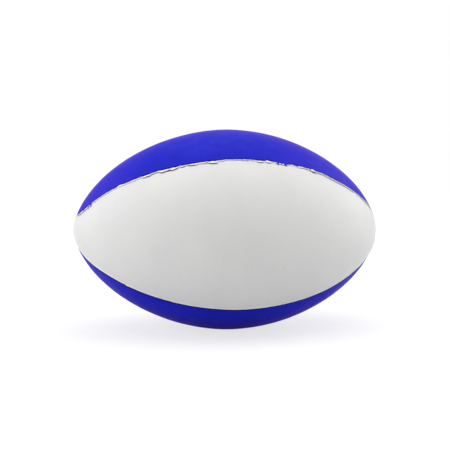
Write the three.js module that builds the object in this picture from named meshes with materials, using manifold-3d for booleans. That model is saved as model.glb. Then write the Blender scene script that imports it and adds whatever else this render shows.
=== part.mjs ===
// A palm-sized rugby ball moulded in soft polyurethane foam.
//
// From the inside out it is a foam core, the dense skin that the foam forms against its mould, and
// four sprayed colour coats round the long axis: white, blue, white, blue. The edges of the spray
// masks left a thin bare lip standing between each two coats.
//
// Millimetres, +Z up. The long axis is X, the origin is the ball's centre, white faces -Y and +Y,
// blue faces +Z and -Z. The ball lies on its lower blue coat, where its weight presses a small flat.

import * as THREE from "three";
import { mergeVertices } from "three/addons/utils/BufferGeometryUtils.js";
import Module from "manifold-3d";

// Driving dimensions
const LENGTH = 92; // tip to tip
const DIAMETER = 60; // across the belly
const BELLY_POWER = 1.91; // outline: radius = DIAMETER / 2 * (1 - t ** BELLY_POWER) ** TIP_POWER,
const TIP_POWER = 0.6; // where t runs from 0 at the belly to 1 at a tip
const WHITE_SPAN = 84; // degrees round the ball from lip to lip over a white coat
const COAT = 0.4; // thickness of a colour coat
const SKIN = 1.0; // thickness of the dense moulded skin
const GAP = 0.3; // clearance between any two neighbouring pieces
const LIP_WIDTH = 0.6; // bare lip between two coats
const LIP_HEIGHT = 0.3; // how far it stands above them
const LIP_END = 0.5; // how far it stops short of each tip, along X
const GATE_DIAMETER = 8; // hole in the skin where the foam was poured in
const GATE_X = 24; // its place on the lower side
const REST_FLAT_DEPTH = 0.25; // how far the ball's weight presses its belly flat

// Facets
const AROUND = 40;
const ALONG = 20;
const GATE_SIDES = 24;

// Each layer's surfaces, as heights over the outside of the coats
const COAT_INSIDE = -COAT;
const SKIN_OUTSIDE = COAT_INSIDE - GAP;
const SKIN_INSIDE = SKIN_OUTSIDE - SKIN;
const CORE_OUTSIDE = SKIN_INSIDE - GAP;

const QUARTER_TURN = Math.PI / 2;
const WHITE_HALF = THREE.MathUtils.degToRad(WHITE_SPAN / 2);
const BLUE_HALF = QUARTER_TURN - WHITE_HALF;
const BEYOND = LENGTH; // reach of a cutter that has to pass right through the ball

const wasm = await Module();
wasm.setup();

// A three.js geometry as a solid, and a solid as a three.js geometry.
function solid(geometry) {
  const bare = geometry.clone();
  bare.deleteAttribute("normal");
  bare.deleteAttribute("uv");
  const merged = mergeVertices(bare, 1e-4);
  return new wasm.Manifold(
    new wasm.Mesh({
      numProp: 3,
      vertProperties: merged.attributes.position.array,
      triVerts: new Uint32Array(merged.index.array),
    }),
  );
}

function geometryOf(made) {
  const mesh = made.getMesh();
  const geometry = new THREE.BufferGeometry();
  geometry.setAttribute("position", new THREE.BufferAttribute(mesh.vertProperties, 3));
  geometry.setIndex(new THREE.BufferAttribute(mesh.triVerts, 1));
  geometry.computeVertexNormals();
  return geometry;
}

// The ball with its surface lifted by `lift` (negative is inwards), the pressed flat included.
function ball(lift) {
  const halfLength = LENGTH / 2 + lift;
  const radius = DIAMETER / 2 + lift;
  const outline = [];
  for (let i = 0; i <= ALONG; i += 1) {
    const angle = (Math.PI * i) / ALONG;
    const t = i === 0 || i === ALONG ? 1 : Math.abs(Math.cos(angle));
    const across = radius * (1 - t ** BELLY_POWER) ** TIP_POWER;
    outline.push(new THREE.Vector2(across, -halfLength * Math.cos(angle)));
  }
  const round = solid(new THREE.LatheGeometry(outline, AROUND).rotateZ(-QUARTER_TURN));
  const table = new THREE.BoxGeometry(BEYOND, BEYOND, BEYOND);
  const tableTop = REST_FLAT_DEPTH - radius;
  return round.subtract(solid(table.translate(0, 0, tableTop - BEYOND / 2)));
}

function shell(outside, inside) {
  return ball(outside).subtract(ball(inside));
}

// What lies within `half` radians of straight up, seen along X, less the room for a lip and its
// clearances on each side, and then turned about X.
function sector(half, turn) {
  const apex = (LIP_WIDTH / 2 + GAP) / Math.sin(half);
  const sideways = BEYOND * Math.tan(half);
  const section = new THREE.Shape([
    new THREE.Vector2(0, apex),
    new THREE.Vector2(sideways, apex + BEYOND),
    new THREE.Vector2(-sideways, apex + BEYOND),
  ]);
  const prism = new THREE.ExtrudeGeometry(section, { depth: 2 * BEYOND, bevelEnabled: false });
  prism.translate(0, 0, -BEYOND).rotateX(QUARTER_TURN).rotateZ(QUARTER_TURN);
  return solid(prism.rotateX(turn));
}

// A thin upright slab from the long axis outwards, turned about X: where a lip stands.
function lipSlab(turn) {
  const slab = new THREE.BoxGeometry(LENGTH - 2 * LIP_END, LIP_WIDTH, BEYOND);
  return solid(slab.translate(0, 0, BEYOND / 2).rotateX(turn));
}

// An upright post through the ball's lower side at the pouring gate.
function gatePost(diameter) {
  const radius = diameter / 2;
  const post = new THREE.CylinderGeometry(radius, radius, DIAMETER / 2, GATE_SIDES);
  return solid(post.rotateX(QUARTER_TURN).translate(GATE_X, 0, -DIAMETER / 2));
}

function material(color, roughness) {
  return new THREE.MeshStandardMaterial({ color, roughness, metalness: 0 });
}

const rugbyBall = new THREE.Group();

function add(name, made, look) {
  const mesh = new THREE.Mesh(geometryOf(made), look);
  mesh.name = name;
  rugbyBall.add(mesh);
}

// Foam core, with the stub of foam that set in the pouring gate and was trimmed flush with the skin
const gateStub = gatePost(GATE_DIAMETER - 2 * GAP).intersect(ball(SKIN_OUTSIDE));
add("foam_core", ball(CORE_OUTSIDE).add(gateStub), material("#efe6c8", 0.95));

// Dense moulded skin, open at the gate
const skin = shell(SKIN_OUTSIDE, SKIN_INSIDE).subtract(gatePost(GATE_DIAMETER));
add("moulded_skin", skin, material("#f4f4f0", 0.7));

// Colour coats
const coatShell = shell(0, COAT_INSIDE);
const blue = [BLUE_HALF, material("#2f2dc8", 0.55)];
const white = [WHITE_HALF, material("#e9e9e7", 0.6)];
const coats = {
  blue_coat_top: [0, ...blue],
  white_coat_front: [QUARTER_TURN, ...white],
  blue_coat_bottom: [2 * QUARTER_TURN, ...blue],
  white_coat_rear: [-QUARTER_TURN, ...white],
};
for (const [name, [turn, half, look]] of Object.entries(coats)) {
  add(name, coatShell.intersect(sector(half, turn)), look);
}

// Bare lips between the coats
const lipShell = shell(LIP_HEIGHT, COAT_INSIDE);
const lipTurns = {
  lip_front_top: BLUE_HALF,
  lip_front_bottom: Math.PI - BLUE_HALF,
  lip_rear_bottom: Math.PI + BLUE_HALF,
  lip_rear_top: -BLUE_HALF,
};
for (const [name, turn] of Object.entries(lipTurns)) {
  add(name, lipShell.intersect(lipSlab(turn)), material("#f4f4f0", 0.5));
}

export default rugbyBall;
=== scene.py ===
"""The looks of a palm-sized foam rugby ball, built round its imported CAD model.

Every layer of the ball is a fine closed mesh made from the same outline as the CAD: a foam core, a
dense moulded skin, four sprayed coats and the four bare lips between them. Metres, +Z up, the long
axis along X. Angles round that axis start at the front (-Y) and rise towards the top (+Z).
"""

import math

import bpy
import numpy as np
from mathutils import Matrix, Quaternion, Vector, noise


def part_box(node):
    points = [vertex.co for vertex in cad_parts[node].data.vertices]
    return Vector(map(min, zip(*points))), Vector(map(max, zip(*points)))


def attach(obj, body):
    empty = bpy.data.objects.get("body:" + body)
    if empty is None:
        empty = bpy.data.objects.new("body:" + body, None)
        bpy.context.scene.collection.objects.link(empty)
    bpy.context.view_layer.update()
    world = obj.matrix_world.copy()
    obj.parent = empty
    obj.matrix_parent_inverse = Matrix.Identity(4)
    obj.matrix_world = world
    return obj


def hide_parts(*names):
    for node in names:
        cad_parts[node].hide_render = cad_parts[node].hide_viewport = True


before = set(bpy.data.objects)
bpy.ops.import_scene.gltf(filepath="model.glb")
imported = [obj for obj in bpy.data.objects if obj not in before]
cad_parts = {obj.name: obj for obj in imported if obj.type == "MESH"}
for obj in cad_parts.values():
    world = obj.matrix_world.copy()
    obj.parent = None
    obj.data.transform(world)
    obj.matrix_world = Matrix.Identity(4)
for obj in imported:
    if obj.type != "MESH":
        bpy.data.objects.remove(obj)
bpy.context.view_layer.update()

MM = 0.001
ROUND = 2 * math.pi

# ---------------------------------------------------------------- the ball's shape

OVER_CORE = 2.0 * MM  # skin, coat and clearances lie this thick over the CAD's core
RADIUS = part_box("white_coat_rear")[1].y
HALF_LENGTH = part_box("foam_core")[1].x + OVER_CORE
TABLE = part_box("blue_coat_bottom")[0].z
BELLY_POWER = 1.91  # outline: radius = RADIUS * (1 - t ** BELLY_POWER) ** TIP_POWER
TIP_POWER = 0.6
PINHOLE = 0.25 * MM  # radius at which the coats and lips stop short of the very tip

WHITE_HALF = math.radians(84 / 2)  # from the middle of a white coat to the lips at its sides

# Heights over the outside of the coats
COAT_FOOT = -0.30 * MM
LIP_FOOT = -0.30 * MM
SKIN_TOP = -0.28 * MM
SKIN_BOTTOM = -1.70 * MM
CORE_TOP = -1.72 * MM

# The foam was poured in through a round gate in the skin's lower side
GATE_X = 24 * MM
GATE_RADIUS = 4 * MM
GATE_CLEARANCE = 0.3 * MM
GATE_BOTTOM = -1.1 * RADIUS  # a post through the gate starts below the ball
GATE_TOP = -0.5 * RADIUS  # and ends inside its core

# Mesh sizes along the ball
BORDER_STEP = 0.12 * MM
SKIN_STEP = 0.36 * MM
CORE_STEP = 0.8 * MM


def outline(x):
    """The ball's radius at x, and how fast it changes with x."""
    t = np.clip(np.abs(x) / HALF_LENGTH, 1e-9, 1 - 1e-9)
    left = 1 - t**BELLY_POWER
    slope = -TIP_POWER * left ** (TIP_POWER - 1) * BELLY_POWER * t ** (BELLY_POWER - 1)
    return RADIUS * left**TIP_POWER, slope * np.sign(x) * RADIUS / HALF_LENGTH


def stations(step):
    """Places along X, evenly spaced on the outline, from pinhole to pinhole."""
    x = -HALF_LENGTH * np.cos(np.linspace(0, math.pi, 8001))
    x = x[outline(x)[0] >= PINHOLE]
    run = np.concatenate(([0], np.cumsum(np.hypot(np.diff(x), np.diff(outline(x)[0])))))
    return np.interp(np.linspace(0, run[-1], round(run[-1] / step) + 1), run, x)


def on_ball(x, angle, lift):
    """Points over the ball's surface, from arrays that broadcast: place, angle and height."""
    x, angle, lift = np.broadcast_arrays(x, angle, lift)
    radius, slope = outline(x)
    steep = np.hypot(1, slope)
    across = radius + lift / steep
    along = x - lift * slope / steep
    points = np.stack([along, -across * np.cos(angle), across * np.sin(angle)], axis=-1)
    points[..., 2] = np.maximum(points[..., 2], TABLE - np.minimum(lift, 0))
    return points


def smooth_noise(points, size, octaves=3):
    """Noise from about -1 to 1 at each point, with features of that size."""
    found = [noise.fractal(Vector(p) / size, 0.9, 2.0, octaves) for p in points.reshape(-1, 3)]
    return np.array(found).reshape(points.shape[:-1])


def smooth_step(value, start, end):
    u = np.clip((value - start) / (end - start), 0, 1)
    return u * u * (3 - 2 * u)


# ---------------------------------------------------------------- mesh tools


def facing_out(points, faces):
    """The faces of a closed mesh, all turned over if they point inwards."""
    corners = points[np.array([face[:3] for face in faces])]
    volume = np.einsum("ij,ij->", corners[:, 0], np.cross(corners[:, 1], corners[:, 2]))
    return faces if volume > 0 else [face[::-1] for face in faces]


def mesh_object(name, points, faces, smudge_and_shade=None):
    """A smooth mesh object, darkened point by point by soiling, wear and painted shade."""
    mesh = bpy.data.meshes.new(name)
    mesh.from_pydata(points.tolist(), [], faces)
    mesh.update()
    mesh.shade_smooth()
    if smudge_and_shade is not None:
        layer = mesh.attributes.new("smudge_and_shade", "FLOAT", "POINT")
        layer.data.foreach_set("value", np.asarray(smudge_and_shade, np.float32).ravel())
    piece = bpy.data.objects.new(name, mesh)
    bpy.context.scene.collection.objects.link(piece)
    return piece


def loft(rings):
    """A closed mesh through rings of points (an array of rings by points by 3)."""
    count, size = rings.shape[:2]
    points = rings.reshape(-1, 3)
    faces = []
    for i in range(count - 1):
        for j in range(size):
            k = (j + 1) % size
            a, b = i * size, (i + 1) * size
            faces.append((a + j, a + k, b + k, b + j))
    faces.append(tuple(range(size))[::-1])
    faces.append(tuple(range((count - 1) * size, count * size)))
    return points, facing_out(points, faces)


def applied(piece, cutter, operation):
    """Join or cut a piece with a cutter for good, and throw the cutter away."""
    change = piece.modifiers.new("change", "BOOLEAN")
    change.operation = operation
    change.object = cutter
    change.solver = "EXACT"
    graph = bpy.context.evaluated_depsgraph_get()
    made = bpy.data.meshes.new_from_object(piece.evaluated_get(graph), depsgraph=graph)
    piece.modifiers.clear()
    piece.data = made
    bpy.data.objects.remove(cutter)


def gate_post(radius):
    """An upright post at the pouring gate, from below the ball to inside its core."""
    sides = 64
    turn = np.arange(sides) * ROUND / sides
    ring = np.stack([GATE_X + radius * np.cos(turn), radius * np.sin(turn), np.zeros(sides)], axis=-1)
    points, faces = loft(np.stack([ring + (0, 0, GATE_BOTTOM), ring + (0, 0, GATE_TOP)]))
    return mesh_object("gate_post", points, faces)


# ---------------------------------------------------------------- the borders between the coats

# Widths are in metres over the surface, from a border's middle line: white lies at negative widths
# and blue at positive ones. Each is a row of values along the ball, one for each station in X.
X = stations(BORDER_STEP)
GIRTH = outline(X)[0]
NARROWING = np.clip(GIRTH / (5 * MM), 0.03, 1)  # all widths shrink towards the tips

HAIRLINE = 0.05 * MM  # least gap between a lip and the coat beside it
OLD_LIP = 0.25  # wear on the top of an old lip; on a freshly torn flake it is near 0. Above this share the lip is painted in shade


def ripple(size, seed):
    """A row of noise along the ball, another one for each seed."""
    points = np.stack([X, np.full_like(X, seed), np.zeros_like(X)], axis=-1)
    return smooth_noise(points, size)


def swell(start, end, sharpness, lean=1.0):
    """A row that is 0 outside start..end (mm along X) and rises to 1 between; lean < 1 rises early."""
    u = np.clip((X / MM - start) / (end - start), 0, 1) ** lean
    return np.abs(np.sin(math.pi * u)) ** sharpness


def swing(flares):
    """A row of how far a border swings towards its blue coat.

    flares  stretches (start, end, width in mm) over which it swings further; start and end are shares
            of the ball's half length
    """
    return sum(width * MM * smooth_step(X / HALF_LENGTH, start, end) for start, end, width in flares)


# What a border holds. Rows change along the ball, and the rest is the same all along it.
#   angle, toward_blue     its angle round the ball, and the sign of the way to its blue coat
#   wander                 row: how far its middle line strays from that angle
#   white_edge, blue_edge  rows: widths at which the two coats end
#   lip_low, lip_high      rows: widths at which the lip ends, on the white and on the blue side
#   rise, lift             rows: heights of the bead's top and of a torn flake's free edge
#   torn, crumple, age     rows: 0 whole to 1 torn, depth of small dents, 0 fresh to 1 old
#   dust_and_shade         row: how dark the skin beneath is painted, by soiling and painted shade
#   groove_shade, edge_shade  how far the blue is painted in shade beside it, and how much shade is painted
#   on both coats there
#   white_roll             how far the white coat's edge rolls down, 1 being all the way
#   white_shoulder         height at which the bead's round top ends on the white side


def ragged_border(angle, toward_blue, seed, bow, flares, flakes, drips, grooves, chips):
    """A border whose mould line was torn off: thin curling flakes, cracks and ragged paint.

    bow      how far the border bows towards the blue coat near the middle of the ball, in mm
    flares   as for swing
    flakes   stretches (start, end, reach in mm) where a thin flake curls off over the white coat
    drips    places (mm along X, width and reach in mm) where blue paint ran down through the lip
    grooves  stretches (start, end, width in mm, darkening) where the white coat's edge stands back, and how
    much darker its skin is painted there
    chips    places (mm along X, depth in mm) where a chip of the blue coat's edge is gone
    """
    torn = sum(reach * swell(start, end, 0.35) for start, end, reach in flakes)
    torn = torn * np.clip(0.85 + 0.45 * ripple(1.6 * MM, seed + 0.1), 0.3, 1.25)
    frayed = np.abs(ripple(0.9 * MM, seed + 0.2))
    blue = (0.32 + 0.06 * ripple(1.8 * MM, seed + 0.4) + 0.08 * ripple(0.7 * MM, seed + 0.5)) * MM
    for place, depth in chips:
        blue = blue + depth * MM * swell(place - 0.5, place + 1.0, 0.7, lean=0.6)
    for place, width, reach in drips:
        blue = blue - reach * MM * swell(place - width / 2, place + width / 2, 0.5)
    low = np.minimum(-(0.02 + 0.16 * frayed**1.5 + torn) * MM, blue - 0.12 * MM)
    open_gap = 0.13 * np.sqrt(torn) + 0.10 * ripple(1.3 * MM, seed + 0.3) ** 2
    open_gap = open_gap + sum(width * swell(start, end, 0.5) for start, end, width, _ in grooves)
    groove_darkening = sum(groove_darkening * swell(start, end, 0.3) for start, end, _, groove_darkening in grooves)
    bowed = bow * (np.cos(math.pi * (X / MM - 6) / 60) - 0.25)
    curling = np.clip(2.5 * torn + 0.5 * np.maximum(ripple(2.2 * MM, seed + 1.1), 0), 0, 1)
    return {
        "angle": angle,
        "toward_blue": toward_blue,
        "wander": (0.10 * ripple(16 * MM, seed) + 0.03 * ripple(3 * MM, seed + 0.7) + bowed) * MM
                  + swing(flares),
        "white_edge": low - HAIRLINE - open_gap * MM,
        "lip_low": low,
        "lip_high": blue - 0.09 * MM,
        "blue_edge": blue,
        "rise": (0.07 + 0.07 * ripple(1.0 * MM, seed + 0.8)) * MM,
        "lift": (0.13 + 0.16 * torn + 0.05 * ripple(0.8 * MM, seed + 0.9)) * MM,
        "torn": curling,
        "crumple": (0.03 + 0.05 * curling) * MM,
        "age": 1 - 0.9 * curling,
        # The blue is painted in shade beside the groove, and both coats near the torn lip
        "groove_shade": 0.12 * MM,
        "edge_shade": 0.18,
        "white_roll": 1.0,
        "white_shoulder": -0.12 * MM,
        # The skin beneath is painted darker, most under torn flakes: soiling and painted shade
        "dust_and_shade": np.minimum(0.15 + 0.55 * np.clip(2.5 * torn, 0, 1) + groove_darkening, 1),
    }


def clean_border(angle, toward_blue, seed, flares, nicks):
    """A border with an even bead and a fine dark groove between the bead and the blue coat.

    flares  as for swing
    nicks   places (mm along X, depth in mm) where the blue coat's edge jumps back, and how far
    """
    blue = (0.56 + 0.025 * ripple(2.5 * MM, seed + 0.4) + 0.02 * ripple(0.7 * MM, seed + 0.5)) * MM
    for place, depth in nicks:
        past = X / MM - place
        blue = blue + np.where(past > 0, 0.65, -0.35) * depth * MM * np.exp(-np.abs(past) / 1.8)
    calm = np.zeros_like(X)
    return {
        "angle": angle,
        "toward_blue": toward_blue,
        "wander": (0.08 * ripple(18 * MM, seed) + 0.015 * ripple(3 * MM, seed + 0.7)) * MM
                  + swing(flares),
        "white_edge": calm - 0.23 * MM,
        "lip_low": calm - 0.22 * MM,
        "lip_high": blue - (0.40 + 0.03 * ripple(1.6 * MM, seed + 0.6)) * MM,
        "blue_edge": blue,
        "rise": (0.18 + 0.02 * ripple(2.0 * MM, seed + 0.8)) * MM,
        "lift": calm,
        "torn": calm,
        "crumple": calm + 0.008 * MM,
        "age": calm + 0.40,
        # The blue is painted in shade beside the fine groove, and the skin in the groove is painted dark as
        # shade
        "groove_shade": 0.26 * MM,
        "edge_shade": 0.0,
        "white_roll": 0.15,
        "white_shoulder": 0.0,
        "dust_and_shade": calm + 1,
    }


def border_angle(border, widths):
    """Angles round the ball of lines at these widths from a border: a row, or a column for each."""
    swung = (border["wander"] + widths.T) * NARROWING / GIRTH
    return border["angle"] + border["toward_blue"] * swung.T


BORDERS = {
    "front_top": ragged_border(
        WHITE_HALF, 1, 1.0, bow=0.45,
        flares=[(-0.90, -0.98, 0.90), (-0.945, -0.975, 1.00), (0.34, 0.41, 0.40), (0.52, 0.60, -0.40),
                (0.80, 0.93, 0.85)],
        flakes=[(-43.3, -42.7, 0.40), (-42.3, -41.3, 0.40), (-32.0, -26.4, 0.20), (-26.2, -23.7, 0.75),
                (-21.4, -18.9, 0.90), (-18.9, -16.4, 0.62), (-15.9, -14.4, 0.45), (-14.2, -10.8, 0.48),
                (-10.7, -9.0, 0.26), (-8.6, -6.0, 0.78), (-5.4, -4.2, 0.14), (-2.6, -1.3, 0.12),
                (4.2, 6.5, 0.55), (7.1, 8.6, 0.36), (9.6, 13.5, 0.40), (18.0, 36.0, 0.07),
                (20.4, 22.0, 0.30)],
        drips=[(-42.4, 0.4, 0.60), (-41.0, 0.5, 0.80), (-40.3, 0.7, 0.70), (10.5, 0.8, 0.90),
               (11.6, 0.4, 0.45), (12.7, 0.9, 0.80)],
        grooves=[(-44.3, -43.8, 0.50, 0.9), (-43.7, -43.3, 0.40, 0.9), (-42.8, -42.4, 0.35, 0.8),
                 (-41.2, -40.7, 0.45, 0.9), (-40.4, -39.9, 0.45, 0.8), (-39.2, -38.7, 0.30, 0.4),
                 (-24.0, -22.7, 0.40, 0.5), (-23.0, -21.2, 0.26, 0.3), (-19.4, -18.4, 0.24, 0.3),
                 (-9.2, -8.6, 0.25, 0.7), (0.2, 1.1, 0.20, 0.6), (1.4, 2.3, 0.24, 0.7),
                 (3.1, 3.7, 0.18, 0.6), (16.0, 35.0, 0.54, 0.0), (35.4, 36.5, 0.35, 0.0),
                 (36.8, 46.5, 0.62, 0.0)],
        chips=[(-43.2, 0.22), (-41.7, 0.25), (-32.2, 0.30), (-21.6, 0.12), (1.2, 0.10), (7.6, 0.40),
               (14.7, 0.22), (17.0, 0.24), (21.0, 0.50), (30.3, 0.12)]),
    "rear_top": clean_border(
        math.pi - WHITE_HALF, -1, 20.0,
        flares=[(-0.72, -0.90, 0.40), (0.70, 0.92, 0.30)],
        nicks=[(-12.0, 0.15), (21.0, 0.30)]),
    "rear_bottom": ragged_border(
        WHITE_HALF - math.pi, 1, 30.0, bow=0.25,
        flares=[(-0.88, -0.97, 0.50), (0.82, 0.94, 0.40)],
        flakes=[(-30.0, -26.5, 0.30), (-19.0, -16.0, 0.58), (-9.0, -4.6, 0.66), (-5.2, -1.5, 0.30),
                (5.5, 8.0, 0.60), (15.0, 19.5, 0.40), (27.0, 29.0, 0.30)],
        drips=[(-14.0, 0.7, 0.80), (-12.6, 0.5, 0.60), (-11.4, 0.8, 0.70), (40.0, 0.6, 0.50)],
        grooves=[(-38.0, -28.0, 0.30, 0.0), (-2.2, -1.4, 0.22, 0.7), (20.0, 26.0, 0.20, 0.2)],
        chips=[(-24.0, 0.30), (-3.1, 0.20), (10.4, 0.25), (24.6, 0.20)]),
    "front_bottom": clean_border(
        -WHITE_HALF, -1, 40.0,
        flares=[(-0.75, -0.93, 0.75), (0.58, 0.78, -0.35), (0.88, 0.97, -0.35)],
        nicks=[(-30.6, 0.44), (-18.0, 0.14), (17.7, 0.16)]),
}

# ---------------------------------------------------------------- pieces


def relief(points):
    """How far the moulded surface stands off its ideal shape: the slow waves of soft foam."""
    return 0.05 * MM * smooth_noise(points, 15 * MM, 2) + 0.012 * MM * smooth_noise(points, 3.5 * MM, 2)


def coat_rows(low, high, low_roll, high_roll):
    """Angles over a coat from edge to edge, and how far its edges have rolled down at each."""
    roll = np.array([0.0, 0.02, 0.05, 0.10, 0.17, 0.28, 0.5]) * MM  # distance in from an edge
    drop = np.array([1.0, 0.62, 0.34, 0.14, 0.05, 0.01, 0.0])  # as a share of the coat's thickness
    inward = roll[None, :] * (NARROWING / GIRTH)[:, None]
    first = low[:, None] + inward
    last = high[:, None] - inward[:, ::-1]
    middle = np.linspace(0, 1, 34)[None, 1:-1]
    between = first[:, -1:] + (last[:, :1] - first[:, -1:]) * middle
    fall = np.concatenate([low_roll * drop, np.zeros(middle.size), high_roll * drop[::-1]])
    return np.concatenate([first, between, last], axis=1), fall[None, :]


def coat(name, node, slot, material, low_border, high_border):
    """A sprayed coat between two borders, resting on the skin."""
    is_white = slot == "white_coat"
    edge = "white_edge" if is_white else "blue_edge"
    low = border_angle(low_border, low_border[edge])
    high = border_angle(high_border, high_border[edge])
    high = high + ROUND * (high < low)
    rolls = [border["white_roll"] if is_white else 1.0 for border in (low_border, high_border)]
    angles, fall = coat_rows(low, high, *rolls)
    surface = on_ball(X[:, None], angles, 0.0)
    top = on_ball(X[:, None], angles, COAT_FOOT * fall + relief(surface) * (1 - fall))
    under_angles = high[:, None] + (low - high)[:, None] * np.linspace(0, 1, 10)[None, 1:-1]
    under = on_ball(X[:, None], under_angles, COAT_FOOT)
    # Painted shade: the blue darkens in a strip beside each groove, both coats near a torn lip, and each
    # rolled-down edge
    inset = np.stack([angles - low[:, None], high[:, None] - angles]) * GIRTH[:, None]
    reach = np.array([low_border["groove_shade"], high_border["groove_shade"]])[:, None, None]
    groove_shade = np.exp(-((inset / reach) ** 4)) * (not is_white)
    edge_shade = np.array([low_border["edge_shade"], high_border["edge_shade"]])[:, None, None]
    edge_shade = (edge_shade * np.exp(-inset / (0.8 * MM))).sum(axis=0)
    smudge_and_shade = np.maximum(0.8 * fall, groove_shade.max(axis=0)) + edge_shade
    smudge_and_shade = np.concatenate([smudge_and_shade, np.ones(under_angles.shape)], axis=1)
    points, faces = loft(np.concatenate([top, under], axis=1))
    finish_piece(mesh_object(name, points, faces, smudge_and_shade), node, material)


def lip(name, node, border, material):
    """A bare lip: a low bead that turns, where it is torn, into thin flakes curling off the ball."""
    flake_thickness = 0.07 * MM
    tuck = -0.16 * MM  # how low a flake starts beside the blue coat
    blue_shoulder = -0.12 * MM  # where the bead's round top meets its upright side
    row = {key: value[:, None] for key, value in border.items() if isinstance(value, np.ndarray)}

    def crest(u):
        round_top = (1 - np.abs(2 * u - 1) ** 2.6) ** 0.6
        shoulder = blue_shoulder + (border["white_shoulder"] - blue_shoulder) * u
        bead = shoulder + (row["rise"] - shoulder) * round_top
        flake = tuck + (row["lift"] - tuck) * u**0.8
        return bead + (flake - bead) * row["torn"]

    over = np.linspace(0, 1, 13)[None, :]
    back = np.linspace(1, 0, 9)[None, :]
    hollow = row["torn"] * np.clip((back - 0.35) / 0.3, 0, 1)
    under = LIP_FOOT + (crest(back) - flake_thickness - LIP_FOOT) * hollow
    u = np.concatenate([over, back], axis=1)
    heights = np.concatenate([crest(over), under], axis=1)
    widths = row["lip_high"] + (row["lip_low"] - row["lip_high"]) * u
    angles = border_angle(border, widths)
    shrink = NARROWING[:, None]
    surface = on_ball(X[:, None], angles, heights * shrink)
    crumple = row["crumple"] * shrink * smooth_noise(surface, 0.6 * MM, 2)
    raised = np.maximum(heights * shrink + crumple, LIP_FOOT)
    # Wear darkens an old lip's top a little; its low sides and its underside are painted in shade
    sunken_shade = 1 - smooth_step(heights, -0.20 * MM, 0.04 * MM)
    smudge_and_shade = OLD_LIP * row["age"] + (1 - OLD_LIP) * sunken_shade * (1 - 0.9 * row["torn"])
    smudge_and_shade[:, over.size:] = 1
    points, faces = loft(on_ball(X[:, None], angles, raised))
    finish_piece(mesh_object(name, points, faces, smudge_and_shade), node, material)


def closed_skin(turns, places, lift):
    """A closed ball surface at one height, from a ring of angles and a row of places."""
    return loft(on_ball(places[:, None], turns[None, :], lift))


def moulded_skin(name, material):
    """The dense skin: a shell with the gate open, darkened along the four borders by soiling and painted
    shade.
    """
    fine_reach = 2.4 * MM  # the mesh is fine this far to each side of a border, where it can show
    dust_and_shade_reach = 1.3 * MM
    starts = np.array([border["angle"] for border in BORDERS.values()])
    fine = starts[:, None] + np.linspace(-fine_reach, fine_reach, 17) / RADIUS
    coarse = np.radians(np.arange(-180, 180, 5))
    away = np.abs(coarse[:, None] - starts).min(axis=1)
    clear = away > (fine_reach + 0.2 * MM) / RADIUS
    turns = np.sort(np.concatenate([fine.ravel(), coarse[clear]]))
    places = stations(SKIN_STEP)
    outer, outer_faces = closed_skin(turns, places, SKIN_TOP)
    inner, inner_faces = closed_skin(turns, places, SKIN_BOTTOM)
    inner_faces = [tuple(len(outer) + i for i in face[::-1]) for face in inner_faces]
    dust_and_shade = np.zeros((places.size, turns.size))
    for border in BORDERS.values():
        width = np.abs(turns - border["angle"])[None, :] * outline(places)[0][:, None]
        settled = np.interp(places, X, border["dust_and_shade"])[:, None]
        dust_and_shade = np.maximum(dust_and_shade, settled * np.exp(-((width / dust_and_shade_reach) ** 2)))
    smudge_and_shade = np.concatenate([dust_and_shade.ravel(), np.zeros(len(inner))])
    skin = mesh_object(name, np.concatenate([outer, inner]), outer_faces + inner_faces, smudge_and_shade)
    skin.data.materials.append(material)
    applied(skin, gate_post(GATE_RADIUS), "DIFFERENCE")
    finish_piece(skin, "moulded_skin", material)


def foam_core(name, material):
    """The foam, with the stub that set in the gate and was trimmed flush with the skin."""
    turns = np.linspace(-math.pi, math.pi, 240, endpoint=False)
    points, faces = closed_skin(turns, stations(CORE_STEP), CORE_TOP)
    uneven = 0.10 * MM * (smooth_noise(points, 1.4 * MM, 2) - 1)
    outwards = points / np.linalg.norm(points, axis=1, keepdims=True)
    core = mesh_object(name, points + outwards * uneven[:, None], faces)
    core.data.materials.append(material)
    stub = gate_post(GATE_RADIUS - GATE_CLEARANCE)
    trimmed = SKIN_TOP - 0.03 * MM
    flush = mesh_object("flush", *closed_skin(turns, stations(CORE_STEP), trimmed))
    applied(stub, flush, "INTERSECT")
    applied(core, stub, "UNION")
    finish_piece(core, "foam_core", material)


def finish_piece(piece, node, material):
    piece.data.materials.clear()
    piece.data.materials.append(material)
    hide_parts(node)
    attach(piece, "root")


# ---------------------------------------------------------------- materials


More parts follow.
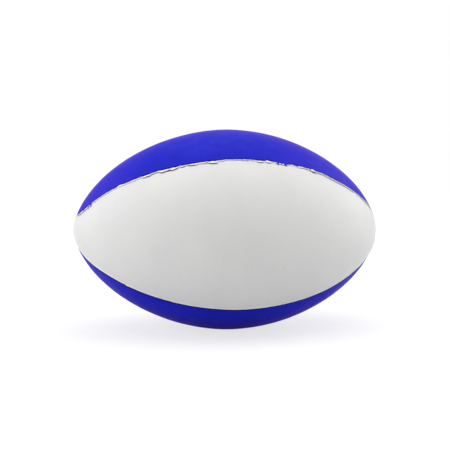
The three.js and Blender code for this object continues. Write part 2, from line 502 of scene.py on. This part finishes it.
class Look:
    """A material under construction, with short ways to add procedural nodes."""

    def __init__(self, name, specular):
        self.material = bpy.data.materials.new(name)
        self.material.use_nodes = True
        self.tree = self.material.node_tree
        self.shader = self.tree.nodes["Principled BSDF"]
        self.shader.inputs["Specular IOR Level"].default_value = specular
        self.place = self.node("ShaderNodeTexCoord").outputs["Object"]
        self.normal = None

    def node(self, kind, **settings):
        made = self.tree.nodes.new(kind)
        for key, value in settings.items():
            setattr(made, key, value)
        return made

    def feed(self, socket, value):
        if isinstance(value, bpy.types.NodeSocket):
            self.tree.links.new(value, socket)
        elif isinstance(value, tuple):
            socket.default_value = (*value, 1.0)
        else:
            socket.default_value = value

    def noise(self, size, detail=2.0, roughness=0.5):
        made = self.node("ShaderNodeTexNoise")
        made.inputs["Scale"].default_value = 1 / size
        made.inputs["Detail"].default_value = detail
        made.inputs["Roughness"].default_value = roughness
        self.feed(made.inputs["Vector"], self.place)
        return made.outputs["Fac"]

    def cells(self, size, feature="F1"):
        made = self.node("ShaderNodeTexVoronoi", feature=feature)
        made.inputs["Scale"].default_value = 1 / size
        self.feed(made.inputs["Vector"], self.place)
        return made

    def remap(self, value, low, high, to_low, to_high):
        made = self.node("ShaderNodeMapRange")
        for key, number in (("From Min", low), ("From Max", high), ("To Min", to_low), ("To Max", to_high)):
            made.inputs[key].default_value = number
        self.feed(made.inputs["Value"], value)
        return made.outputs["Result"]

    def times(self, a, b):
        made = self.node("ShaderNodeMath", operation="MULTIPLY")
        self.feed(made.inputs[0], a)
        self.feed(made.inputs[1], b)
        return made.outputs[0]

    def along(self, axis, low, high, to_low, to_high):
        """A value that changes evenly with the place along one axis, and stays even beyond."""
        made = self.node("ShaderNodeSeparateXYZ")
        self.feed(made.inputs[0], self.place)
        return self.remap(made.outputs[axis], low, high, to_low, to_high)

    def mix(self, share, first, second):
        made = self.node("ShaderNodeMix", data_type="RGBA")
        self.feed(made.inputs["Factor"], share)
        self.feed(made.inputs["A"], first)
        self.feed(made.inputs["B"], second)
        return made.outputs["Result"]

    def smudge_and_shade(self):
        return self.node("ShaderNodeAttribute", attribute_name="smudge_and_shade").outputs["Fac"]

    def bump(self, height, depth):
        made = self.node("ShaderNodeBump")
        made.inputs["Distance"].default_value = depth
        self.feed(made.inputs["Height"], height)
        if self.normal:
            self.feed(made.inputs["Normal"], self.normal)
        self.normal = made.outputs["Normal"]

    def specks(self, spacing, size, share):
        """1 in small round specks, with a share of the cells holding one."""
        made = self.cells(spacing)
        dot = self.remap(made.outputs["Distance"], size / spacing * 0.6, size / spacing, 1.0, 0.0)
        chance = self.node("ShaderNodeSeparateColor")
        self.feed(chance.inputs["Color"], made.outputs["Color"])
        chosen = self.node("ShaderNodeMath", operation="LESS_THAN")
        self.feed(chosen.inputs[0], chance.outputs["Red"])
        chosen.inputs[1].default_value = share
        return self.times(dot, chosen.outputs[0])

    def finish(self, colour, roughness):
        self.feed(self.shader.inputs["Base Color"], colour)
        self.feed(self.shader.inputs["Roughness"], roughness)
        self.feed(self.shader.inputs["Normal"], self.normal)
        return self.material


def sprayed_bumps(look):
    """The orange peel of a sprayed coat over foam: soft cells, a fine grain and a few pinholes."""
    look.bump(look.noise(1.1 * MM, 2.0), 0.030 * MM)
    look.bump(look.noise(0.30 * MM, 3.0), 0.010 * MM)
    look.bump(look.remap(look.specks(2.2 * MM, 0.10 * MM, 0.35), 0, 1, 1, 0), 0.03 * MM)


def white_paint():
    look = Look("sprayed_white", specular=0.4)
    cloudy = look.remap(look.noise(11 * MM, 3.0), 0.35, 0.65, 0, 1)
    colour = look.mix(cloudy, (0.775, 0.775, 0.77), (0.80, 0.80, 0.79))
    grain = look.remap(look.noise(0.45 * MM, 3.0, 0.6), 0.3, 0.7, 0.0, 0.05)
    colour = look.mix(grain, colour, (0.35, 0.35, 0.36))
    colour = look.mix(look.times(look.specks(5.5 * MM, 0.16 * MM, 0.12), 0.55), colour, (0.30, 0.28, 0.26))
    # Painted shade on the rolled edges and near the torn lips
    colour = look.mix(look.remap(look.smudge_and_shade(), 0.02, 0.9, 0, 0.75), colour, (0.41, 0.395, 0.41))
    sprayed_bumps(look)
    return look.finish(colour, look.remap(look.noise(3 * MM, 3.0), 0.3, 0.7, 0.50, 0.62))


def blue_paint():
    look = Look("sprayed_blue", specular=0.08)
    look.shader.inputs["Sheen Weight"].default_value = 0.15
    look.shader.inputs["Sheen Roughness"].default_value = 0.28
    look.shader.inputs["Sheen Tint"].default_value = (1.0, 0.5, 1.0, 1.0)
    cloudy = look.remap(look.noise(9 * MM, 3.0), 0.35, 0.65, 0, 1)
    colour = look.mix(cloudy, (0.007, 0.013, 0.525), (0.010, 0.014, 0.57))
    blotch = look.remap(look.noise(0.9 * MM, 3.0, 0.6), 0.3, 0.7, 0.0, 0.16)
    colour = look.mix(blotch, colour, (0.006, 0.006, 0.30))
    # A painted sheen: on its top side the coat turns more violet towards the two points
    upper_sheen = look.along("Z", -4 * MM, 4 * MM, 0, 1)
    for sheen_toward_point in (look.along("X", -22 * MM, -45 * MM, 0, 1), look.along("X", 6 * MM, 28 * MM, 0, 0.75)):
        colour = look.mix(look.times(sheen_toward_point, upper_sheen), colour, (0.036, 0.024, 0.555))
    colour = look.mix(look.times(look.specks(6 * MM, 0.15 * MM, 0.15), 0.4), colour, (0.10, 0.08, 0.60))
    # Painted shade on the rolled edges, beside the grooves and near the torn lips
    colour = look.mix(look.remap(look.smudge_and_shade(), 0.05, 0.9, 0, 0.8), colour, (0.006, 0.006, 0.10))
    sprayed_bumps(look)
    return look.finish(colour, look.remap(look.noise(3 * MM, 3.0), 0.3, 0.7, 0.46, 0.60))


def bare_lip():
    look = Look("bare_lip", specular=0.5)
    patchy = look.remap(look.noise(1.4 * MM, 3.0), 0.35, 0.65, 0, 1)
    worn = look.mix(patchy, (0.86, 0.84, 0.77), (0.92, 0.90, 0.87))
    colour = look.mix(look.remap(look.smudge_and_shade(), 0, OLD_LIP, 0, 1), (0.95, 0.935, 0.95), worn)
    # Past the wear share, the lip's low sides and undersides are painted dark as shade
    colour = look.mix(look.remap(look.smudge_and_shade(), OLD_LIP, 1.0, 0, 0.85), colour, (0.21, 0.19, 0.21))
    look.bump(look.noise(0.35 * MM, 4.0, 0.6), 0.05 * MM)
    look.bump(look.noise(0.09 * MM, 2.0), 0.012 * MM)
    return look.finish(colour, look.remap(look.noise(0.8 * MM, 2.0), 0.3, 0.7, 0.30, 0.48))


def dense_skin():
    look = Look("dense_skin", specular=0.4)
    cloudy = look.remap(look.noise(8 * MM, 3.0), 0.35, 0.65, 0, 1)
    colour = look.mix(cloudy, (0.78, 0.755, 0.70), (0.86, 0.84, 0.80))
    pores = look.specks(0.9 * MM, 0.14 * MM, 0.5)
    # The pores are painted darker, as shade
    colour = look.mix(look.times(pores, 0.5), colour, (0.45, 0.41, 0.33))
    # Darker along the borders: soiling and painted shade
    dust_and_shade = look.times(look.smudge_and_shade(), look.remap(look.noise(0.8 * MM, 3.0), 0.3, 0.7, 0.75, 1.0))
    colour = look.mix(dust_and_shade, colour, (0.21, 0.195, 0.22))
    look.bump(look.remap(pores, 0, 1, 1, 0), 0.08 * MM)
    look.bump(look.noise(0.5 * MM, 3.0), 0.03 * MM)
    return look.finish(colour, look.remap(look.noise(2 * MM, 2.0), 0.3, 0.7, 0.55, 0.75))


def open_foam():
    look = Look("open_foam", specular=0.2)
    cell = look.cells(0.55 * MM, "DISTANCE_TO_EDGE").outputs["Distance"]
    cell_hollow = look.remap(cell, 0.02, 0.16, 0, 1)
    cloudy = look.remap(look.noise(7 * MM, 3.0), 0.35, 0.65, 0, 1)
    colour = look.mix(cloudy, (0.84, 0.76, 0.54), (0.88, 0.82, 0.64))
    # The cell hollows are painted darker, as shade
    colour = look.mix(look.times(cell_hollow, 0.55), colour, (0.52, 0.42, 0.24))
    look.bump(look.remap(cell_hollow, 0, 1, 1, 0), 0.15 * MM)
    look.bump(look.noise(0.25 * MM, 3.0), 0.03 * MM)
    return look.finish(colour, look.remap(look.noise(1 * MM, 2.0), 0.3, 0.7, 0.85, 0.98))


# ---------------------------------------------------------------- the ball

white, blue, satin = white_paint(), blue_paint(), bare_lip()
front_top, rear_top, rear_bottom, front_bottom = BORDERS.values()

coat("white_coat_front_paint", "white_coat_front", "white_coat", white, front_bottom, front_top)
coat("blue_coat_top_paint", "blue_coat_top", "blue_coat", blue, front_top, rear_top)
coat("white_coat_rear_paint", "white_coat_rear", "white_coat", white, rear_top, rear_bottom)
coat("blue_coat_bottom_paint", "blue_coat_bottom", "blue_coat", blue, rear_bottom, front_bottom)
for place, border in BORDERS.items():
    lip(f"lip_{place}_edge", f"lip_{place}", border, satin)
moulded_skin("moulded_skin_shell", dense_skin())
foam_core("foam_core_body", open_foam())

# ---------------------------------------------------------------- stage, light and camera


def studio_floor():
    """A wide round floor of white paper, which glows to the camera and throws back less light."""
    sides = 128
    radius = 2.8
    bounce = (0.66, 0.66, 0.66)
    glow = 0.72
    turn = np.arange(sides) * ROUND / sides
    points = np.stack([radius * np.cos(turn), radius * np.sin(turn), np.full(sides, TABLE)], axis=-1)
    floor = mesh_object("studio_floor", points, [tuple(range(sides))])
    look = Look("studio_paper", specular=0.1)
    look.bump(look.noise(1.5 * MM, 2.0), 0.01 * MM)
    tone = look.remap(look.noise(60 * MM, 2.0), 0.3, 0.7, 0, 1)
    seen = look.mix(tone, (0.29, 0.29, 0.29), (0.31, 0.31, 0.31))
    camera_ray = look.node("ShaderNodeLightPath").outputs["Is Camera Ray"]
    look.feed(look.shader.inputs["Emission Color"], (1.0, 1.0, 1.0))
    look.feed(look.shader.inputs["Emission Strength"], look.times(camera_ray, glow))
    floor.data.materials.append(look.finish(look.mix(camera_ray, bounce, seen), 0.9))


def direction(azimuth, elevation):
    """The way from the ball to something that stands at these angles, in degrees; 0 is the front."""
    a, e = math.radians(azimuth), math.radians(elevation)
    return Vector((math.sin(a) * math.cos(e), -math.cos(a) * math.cos(e), math.sin(e)))


def wide_light(name, azimuth, elevation, strength):
    """A soft light that comes from a wide part of a light tent."""
    lamp = bpy.data.lights.new(name, "SUN")
    lamp.energy = strength
    lamp.angle = math.radians(70)
    light = bpy.data.objects.new(name, lamp)
    light.rotation_euler = (-direction(azimuth, elevation)).to_track_quat("-Z", "Y").to_euler()
    bpy.context.scene.collection.objects.link(light)


def studio_air(fill, seen):
    """A dim even fill light, which the camera sees as a white backdrop."""
    world = bpy.data.worlds.new("studio")
    world.use_nodes = True
    nodes, links = world.node_tree.nodes, world.node_tree.links
    lit = nodes["Background"]
    lit.inputs["Color"].default_value = (1, 1, 1, 1)
    lit.inputs["Strength"].default_value = fill
    backdrop = nodes.new("ShaderNodeBackground")
    backdrop.inputs["Color"].default_value = (1, 1, 1, 1)
    backdrop.inputs["Strength"].default_value = seen
    pick = nodes.new("ShaderNodeMixShader")
    links.new(nodes.new("ShaderNodeLightPath").outputs["Is Camera Ray"], pick.inputs[0])
    links.new(lit.outputs[0], pick.inputs[1])
    links.new(backdrop.outputs[0], pick.inputs[2])
    links.new(pick.outputs[0], nodes["World Output"].inputs["Surface"])
    bpy.context.scene.world = world


def camera(azimuth, elevation, distance, roll):
    """The camera, at these angles in degrees and that distance from the ball's middle."""
    lens = bpy.data.cameras.new("camera")
    lens.lens = 51.63
    lens.sensor_width = 36
    lens.shift_x = -0.0076
    lens.shift_y = 0.0098
    lens.clip_start = 0.01
    made = bpy.data.objects.new("camera", lens)
    back = direction(azimuth, elevation)
    made.location = back * distance
    turned = Quaternion((0, 0, 1), math.radians(roll))
    made.rotation_euler = ((-back).to_track_quat("-Z", "Y") @ turned).to_euler()
    bpy.context.scene.collection.objects.link(made)
    bpy.context.scene.camera = made


studio_floor()
wide_light("top_light", azimuth=0, elevation=90, strength=1.92)
wide_light("left_light", azimuth=-90, elevation=20, strength=1.72)
wide_light("front_left_light", azimuth=-60, elevation=10, strength=0.88)
wide_light("right_light", azimuth=90, elevation=20, strength=2.28)
wide_light("back_light", azimuth=180, elevation=25, strength=0.48)
studio_air(fill=0.05, seen=1.0)
camera(azimuth=-7.9, elevation=4.31, distance=0.1961, roll=0.37)
bpy.context.scene.view_settings.view_transform = "Standard"
